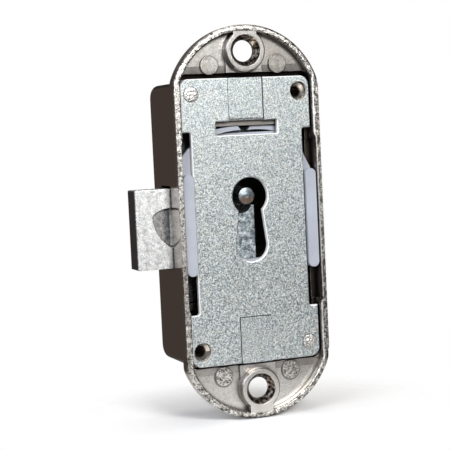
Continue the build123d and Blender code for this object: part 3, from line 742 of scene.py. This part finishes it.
@dataclass(frozen=True)
class CastZinc(Finish):
    """Zinc alloy, die cast and satin nickel plated.

    The head is rubbed even and bright by the strike, its end face is painted dark for the dark it reflects
    at the door's edge, the ends of its limbs get painted shade, and the limbs inside keep the rough,
    blotched skin of the casting. Painted shade darkens its crevices.
    """

    satin: Stops = ((0.35, "#c9cacb"), (0.5, "#eeeeec"), (0.66, "#fbfaf9"))
    cast_skin: Stops = ((0.36, "#4d585d"), (0.5, "#a9b4b9"), (0.62, "#e8eeef"))
    # Painted dark reflection on the end face and painted shade on the limb ends.
    painted_end_shade: Shade = Shade("#2c2927", 0.8)
    # Painted shade in the crevices, from the ambient occlusion.
    painted_crevice_shade: Shade = Shade("#17181a", 0.85)
    # Where the head ends inside the case's wall, the ends of the limbs, and how the end face is told.
    case_wall: Fade = (-13.5, -12.5)
    limb_end: Fade = (8.2, 9.5)
    end_turn: Fade = (-0.8, -0.4)
    crevice_reach: float = 0.7
    crevice: Fade = (0.55, 0.92)
    roughness_span: Fade = (-0.06, 0.1)
    skin_depth: float = 0.12
    head_share: float = 0.1
    limb_share: float = 0.4

    def dress(self, coat: Coat, shader: Node, place: Socket) -> None:
        """Adds satin specks, a darker, rougher inner half, painted dark on the end face and the limb ends,
        and painted shade in crevices.

        Args:
            coat: The material's nodes.
            shader: The surface shader.
            place: The point in object space, in metres.
        """
        speck = coat.add(Kind.NOISE, Vector=place, Scale=Grain.SPECK.scale, Detail=2.0, W=2.0)
        crystal = coat.add(Kind.NOISE, Vector=place, Scale=Grain.CRYSTAL.scale, W=4.0)
        x, _, z = coat.axes(coat.add(Kind.SCALED, place, 1 / MM))
        mottled = coat.all_of(coat.add(Kind.PLUS, crystal, speck), 0.5)
        inner = coat.zone(x, rise=self.case_wall)
        facing_x, _, _ = coat.axes(coat.add(Kind.FACING))
        tip = coat.all_of(coat.zone(facing_x, fall=self.end_turn), coat.add(Kind.MINUS, 1.0, inner))
        limb_ends = coat.all_of(coat.zone(coat.add(Kind.UNSIGNED, z), rise=self.limb_end), inner)
        openness = coat.add(Kind.OPENNESS, Distance=self.crevice_reach * MM)
        colour = coat.layers(
            coat.add(Kind.GRADES, speck, stops=self.satin),
            (inner, coat.add(Kind.GRADES, mottled, stops=self.cast_skin)),
            (coat.any_of(tip, limb_ends), self.painted_end_shade),
            (coat.zone(openness, fall=self.crevice), self.painted_crevice_shade),
        )
        coat.tree.links.new(colour, shader.inputs["Base Color"])
        least, most = (self.roughness + change for change in self.roughness_span)
        rough = coat.zone(crystal, rise=NOISE_SPAN, least=least, most=most)
        coat.tree.links.new(rough, shader.inputs["Roughness"])
        depth = coat.add(Kind.PLUS, self.head_share, coat.all_of(inner, self.limb_share))
        self.relief(coat, shader, coat.all_of(crystal, depth), self.skin_depth)


@dataclass(frozen=True)
class HammeredZinc(Finish):
    """Cast zinc spread by a hammer, its dented head coloured in bright and dark flecks."""

    flecks: Stops = ((0.38, "#6b6762"), (0.48, "#c6c3be"), (0.6, "#f8f6f2"))
    fleck_depth: float = 0.05

    def dress(self, coat: Coat, shader: Node, place: Socket) -> None:
        """Adds flecks and their relief.

        Args:
            coat: The material's nodes.
            shader: The surface shader.
            place: The point in object space, in metres.
        """
        speck = coat.add(Kind.NOISE, Vector=place, Scale=Grain.SPECK.scale, W=12.0)
        coat.tree.links.new(coat.add(Kind.GRADES, speck, stops=self.flecks), shader.inputs["Base Color"])
        self.relief(coat, shader, speck, self.fleck_depth)


@dataclass(frozen=True)
class TurnedSteel(Finish):
    """Bare steel, turned or drawn: greyer than the plating, blotched by handling, with rings from the tool.

    The tool's rings are about 0.1 mm apart, too fine to show, and are drawn 2.2 mm apart.
    """

    blotches: Stops = ((0.35, "#5f666a"), (0.62, "#b9bfc2"))
    rust: Shade = Shade("#b08766", 0.0)
    rust_depth: Fade = (PIN_TIP + 0.3, PIN_TIP + 0.6)
    rust_height: Fade = (PIN_MIDDLE - 0.7, PIN_MIDDLE + 0.1)
    ring_spacing: float = 2.2
    ring_wobble: float = 1.5
    ring_depth: float = 0.03

    def dress(self, coat: Coat, shader: Node, place: Socket) -> None:
        """Adds blotches, rings and a rust stain low on the tip.

        Args:
            coat: The material's nodes.
            shader: The surface shader.
            place: The point in object space, in metres.
        """
        crystal = coat.add(Kind.NOISE, Vector=place, Scale=Grain.CRYSTAL.scale, W=6.0)
        colour = coat.add(Kind.GRADES, crystal, stops=self.blotches)
        _, y, z = coat.axes(coat.add(Kind.SCALED, place, 1 / MM))
        tip, low = coat.zone(y, fall=self.rust_depth), coat.zone(z, fall=self.rust_height)
        colour = coat.layers(colour, (coat.all_of(tip, low), self.rust))
        coat.tree.links.new(colour, shader.inputs["Base Color"])
        # At a scale of one, the wave texture turns by 20 radians per metre.
        scale = math.tau / (20 * self.ring_spacing * MM)
        rings = coat.add(Kind.RINGS, Vector=place, Scale=scale, Distortion=self.ring_wobble)
        self.relief(coat, shader, coat.all_of(rings, crystal), self.ring_depth)


@dataclass(frozen=True)
class MouldedAcetal(Finish):
    """Acetal, injection moulded: a smooth, slightly waxy lavender grey that lets a little light in."""

    greys: Stops = ((0.35, "#a3a7b0"), (0.65, "#afb3bb"))
    ior: float = 1.48
    glow_share: float = 0.15
    glow_depth: float = 0.6
    peel_depth: float = 0.01

    def dress(self, coat: Coat, shader: Node, place: Socket) -> None:
        """Adds slow changes of shade and a soft mould texture.

        Args:
            coat: The material's nodes.
            shader: The surface shader.
            place: The point in object space, in metres.
        """
        cloud = coat.add(Kind.NOISE, Vector=place, Scale=Grain.CLOUD.scale, W=9.0)
        peel = coat.add(Kind.NOISE, Vector=place, Scale=Grain.PEEL.scale, W=8.0)
        coat.tree.links.new(coat.add(Kind.GRADES, cloud, stops=self.greys), shader.inputs["Base Color"])
        shader.inputs["IOR"].default_value = self.ior
        shader.inputs["Subsurface Weight"].default_value = self.glow_share
        shader.inputs["Subsurface Scale"].default_value = self.glow_depth * MM
        self.relief(coat, shader, peel, self.peel_depth)


@dataclass(frozen=True)
class PalePaper(Finish):
    """Uncoated paper, calendered: a matt, nearly even white that fades out around the lock."""

    whites: Stops = ((0.3, "#f6f6f5"), (0.7, "#fbfbfa"))
    glow_colour: str = "#fbfbfa"
    glow: float = 0.1
    fade_out: Fade = (40.5, 62.0)

    def dress(self, coat: Coat, shader: Node, place: Socket) -> None:
        """Adds the faintest unevenness and the fade.

        Args:
            coat: The material's nodes.
            shader: The surface shader.
            place: The point in object space, in metres.
        """
        wash = coat.add(Kind.NOISE, Vector=place, Scale=Grain.WASH.scale, W=1.0)
        coat.tree.links.new(coat.add(Kind.GRADES, wash, stops=self.whites), shader.inputs["Base Color"])
        shader.inputs["Emission Color"].default_value = linear(self.glow_colour)
        shader.inputs["Emission Strength"].default_value = self.glow
        far = coat.add(Kind.LENGTH, coat.add(Kind.SCALED, place, 1 / MM))
        coat.tree.links.new(coat.zone(far, fall=self.fade_out), shader.inputs["Alpha"])


CASTING = NickelledCasting(name="nickelled_zinc_casting", roughness=0.32, edge_radius=0.14)
SHEET = ZincedSheet(name="zinc_plated_sheet", roughness=0.46, edge_radius=0.1)
BOLT_ZINC = CastZinc(name="satin_cast_zinc", roughness=0.42, edge_radius=0.2)
PIN_STEEL = TurnedSteel(
    name="turned_steel",
    roughness=0.45,
    edge_radius=0.1,
    blotches=((0.35, "#5f666a"), (0.62, "#9ba3a6")),
    rust=Shade("#b08766", 0.6),
)
STUMP_STEEL = TurnedSteel(name="drawn_steel", roughness=0.38, edge_radius=0.1)
STRIP_STEEL = TurnedSteel(
    name="spring_steel",
    roughness=0.3,
    edge_radius=0.05,
    blotches=((0.35, "#6b7378"), (0.62, "#a9afb4")),
)
HEAD_METAL = HammeredZinc(name="hammered_zinc", roughness=0.4, edge_radius=0.08)
ACETAL = MouldedAcetal(name="moulded_acetal", roughness=0.42, metallic=0.0, edge_radius=0.15)
PAPER = PalePaper(name="pale_paper", roughness=0.9, metallic=0.0, edge_radius=0.0)


@dataclass
class SubAssembly:
    """A group of pieces that is built and dressed together."""

    def build(self) -> list[str]:
        """Builds and dresses the pieces, and gives their names."""
        raise NotImplementedError

    def dress_node(self, node: str, finish: Finish) -> str:
        """Gives a CAD node its material.

        Args:
            node: The node's name.
            finish: Its finish.

        Returns:
            The node's name.
        """
        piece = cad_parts[node]
        piece.data.materials.clear()
        piece.data.materials.append(finish.material())
        return node


@dataclass
class Case(SubAssembly):
    """The casting, its cover, the pin that is fixed in it and the strip behind the bolt."""

    def build(self) -> list[str]:
        """Dresses the case's nodes.

        Returns:
            Their names.
        """
        finishes = {
            "casing": CASTING,
            "cover_plate": SHEET,
            "drill_pin": PIN_STEEL,
            "bolt_detent_spring": STRIP_STEEL,
        }
        return [self.dress_node(node, finish) for node, finish in finishes.items()]


@dataclass
class PeenedHeads(SubAssembly):
    """The post ends that were hammered flat over the plate, at two opposite corners."""

    radius: float = 1.42
    crown: float = 0.07
    dent: float = 0.08
    dent_size: float = 0.35
    ring_count: int = 9
    side_count: int = 36
    seat_y: float = 1.06
    skirt: float = 0.2

    def build(self) -> list[str]:
        """Makes both heads and lets them ride on the case.

        Returns:
            Their names.
        """
        heads = []
        for number, side in enumerate((-1, 1), start=1):
            seat = Vector((side * HEAD_X, self.seat_y * MM, -side * HEAD_Z))
            head = self.make_head(f"peened_head_{number}", seat)
            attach(head, "case")
            heads.append(head.name)
        return heads

    def make_head(self, name: str, centre: Vector) -> bpy.types.Object:
        """Builds one domed head full of hammer dents, closed by a skirt inside the post.

        Args:
            name: The piece's name.
            centre: The middle of its seat, in metres.

        Returns:
            The new piece.
        """
        rings = [self.ring(centre, number / self.ring_count) for number in range(1, self.ring_count + 1)]
        foot = [Vector((v.x, centre.y + self.skirt * MM, v.z)) for v in rings[-1]]
        vertices = [self.surface_point(centre, 0.0, 0.0), *(v for ring in (*rings, foot) for v in ring)]
        count = self.side_count
        faces = [(0, 1 + side, 1 + (side + 1) % count) for side in range(count)]
        for first in range(1, 1 + count * self.ring_count, count):
            for side in range(count):
                after = (side + 1) % count
                faces.append((first + side, first + count + side, first + count + after, first + after))
        faces.append(tuple(range(len(vertices) - count, len(vertices))))
        mesh = bpy.data.meshes.new(name)
        mesh.from_pydata(vertices, [], faces)
        mesh.validate()
        mesh.materials.append(HEAD_METAL.material())
        head = bpy.data.objects.new(name, mesh)
        bpy.context.scene.collection.objects.link(head)
        return head

    def ring(self, centre: Vector, share: float) -> list[Vector]:
        """Places the points of one ring of the dome.

        Args:
            centre: The middle of the seat, in metres.
            share: The ring's share of the head's radius.

        Returns:
            The ring's points.
        """
        turns = [math.tau * side / self.side_count for side in range(self.side_count)]
        return [self.surface_point(centre, share, turn) for turn in turns]

    def surface_point(self, centre: Vector, share: float, turn: float) -> Vector:
        """Finds a point of the dented dome.

        Args:
            centre: The middle of the seat, in metres.
            share: The share of the head's radius.
            turn: The angle about the post's axis.

        Returns:
            The point, in metres.
        """
        out = Vector((math.cos(turn), 0.0, math.sin(turn))) * self.radius * share * MM
        place = centre + out
        # The dents and the crown both run out at the head's edge.
        dent = noise.noise(place / (self.dent_size * MM)) * self.dent * (1 - share**4)
        return place - Vector((0.0, (self.crown * (1 - share**3) + dent) * MM, 0.0))


@dataclass
class Bolt(SubAssembly):
    """The bolt and its stump."""

    def build(self) -> list[str]:
        """Dresses the bolt's nodes, and gives their names."""
        return [self.dress_node("bolt", BOLT_ZINC), self.dress_node("bolt_stump", STUMP_STEEL)]


@dataclass
class Tumblers(SubAssembly):
    """The moulded tumblers and their arms."""

    count: int = 3

    def build(self) -> list[str]:
        """Dresses the tumblers' nodes.

        Returns:
            Their names.
        """
        numbers = range(1, self.count + 1)
        names = [f"tumbler_{number}{part}" for number in numbers for part in ("", "_spring_arm")]
        return [self.dress_node(name, ACETAL) for name in names]


@dataclass(frozen=True)
class Lamp:
    """A square soft light that faces the lock. Its place and its side are in metres, its power in watts."""

    name: str
    at: tuple[float, float, float]
    side: float
    power: float
    colour: str

    def build(self) -> str:
        """Hangs the lamp.

        Returns:
            Its name.
        """
        data = bpy.data.lights.new(self.name, "AREA")
        data.size = self.side
        data.energy = self.power
        data.color = linear(self.colour)[:3]
        lamp = bpy.data.objects.new(self.name, data)
        lamp.location = self.at
        lamp.rotation_mode = "QUATERNION"
        lamp.rotation_quaternion = (-Vector(self.at)).to_track_quat("-Z", "Y")
        bpy.context.scene.collection.objects.link(lamp)
        return self.name


@dataclass
class Studio(SubAssembly):
    """The floor, the lights, the surroundings and the camera. Distances are in metres."""

    lens_mm: float = 110.0
    clip_start: float = 0.01
    clip_end: float = 20.0
    camera_at: tuple[float, float, float] = (-0.098802, -0.248782, 0.017175)
    camera_right: tuple[float, float, float] = (0.93474256, -0.35209503, -0.04780612)
    camera_up: tuple[float, float, float] = (0.06795325, 0.04507842, 0.9966696)
    camera_ahead: tuple[float, float, float] = (0.34876739, 0.93487808, -0.06606272)
    floor_half: float = 3.0
    # The room's light, from in front of the lock to behind it.
    glows: Stops = ((0.0, "#f4f6f8"), (1.0, "#a09089"))
    glow_strength: float = 0.26
    # The room dims along this direction, between these two shares of it.
    dim_way: tuple[float, float, float] = (0.35, 0.8, -0.5)
    dim_span: Fade = (-0.65, 0.1)
    lamps: tuple[Lamp, ...] = (
        Lamp("key", (0.05, -0.62, 0.32), 0.22, 4.3, "#ffffff"),
        Lamp("fill", (-0.42, -0.3, 0.25), 0.3, 2.0, "#eef3ff"),
        Lamp("top", (0.05, 0.1, 0.8), 0.4, 1.6, "#fffaf2"),
    )

    def build(self) -> list[str]:
        """Makes everything around the lock.

        Returns:
            What was made.
        """
        self.make_camera()
        self.make_floor()
        self.make_surroundings()
        return ["camera", "floor", "room", *(lamp.build() for lamp in self.lamps)]

    def make_camera(self) -> None:
        """Places the camera at the photograph's viewing angle."""
        data = bpy.data.cameras.new("camera")
        data.lens = self.lens_mm
        data.clip_start = self.clip_start
        data.clip_end = self.clip_end
        camera = bpy.data.objects.new("camera", data)
        right, up, ahead = (Vector(v) for v in (self.camera_right, self.camera_up, self.camera_ahead))
        turn = Matrix((right, up, -ahead)).transposed()
        camera.matrix_world = Matrix.Translation(self.camera_at) @ turn.to_4x4()
        bpy.context.scene.collection.objects.link(camera)
        bpy.context.scene.camera = camera

    def make_floor(self) -> None:
        """Lays the floor under the lowest point of the lock."""
        half = self.floor_half
        low = CAD_BOUNDS[0].z
        mesh = bpy.data.meshes.new("floor")
        corners = [(-half, -half, low), (half, -half, low), (half, half, low), (-half, half, low)]
        mesh.from_pydata(corners, [], [(0, 1, 2, 3)])
        floor = bpy.data.objects.new("floor", mesh)
        floor.data.materials.append(PAPER.material())
        bpy.context.scene.collection.objects.link(floor)

    def make_surroundings(self) -> None:
        """Surrounds the lock with a room that is light in front, dim behind, and white where it is seen."""
        world = bpy.data.worlds.new("room")
        bpy.context.scene.world = world
        world.use_nodes = True
        world.node_tree.nodes.clear()
        coat = Coat(world.node_tree)
        along = coat.add(Kind.DOT, coat.add(Kind.DIRECTION), self.dim_way)
        dimness = coat.zone(along, rise=self.dim_span)
        glow = coat.add(Kind.GRADES, dimness, stops=self.glows)
        room = coat.add(Kind.GLOW, Color=glow, Strength=self.glow_strength)
        white = coat.add(Kind.GLOW, Color="#ffffff", Strength=1.0)
        add_node(coat.tree, Kind.ROOM_OUTPUT, coat.add(Kind.EITHER, coat.add(Kind.CAMERA_RAY), room, white))
        bpy.context.scene.view_settings.view_transform = "Standard"


def main() -> None:
    """Builds the lock's dress and the studio."""
    logging.basicConfig(level=logging.INFO)
    for group in (Case(), PeenedHeads(), Bolt(), Tumblers(), Studio()):
        for piece in group.build():
            LOG.info("%s: %s", type(group).__name__, piece)


if __name__ == "__main__":
    main()
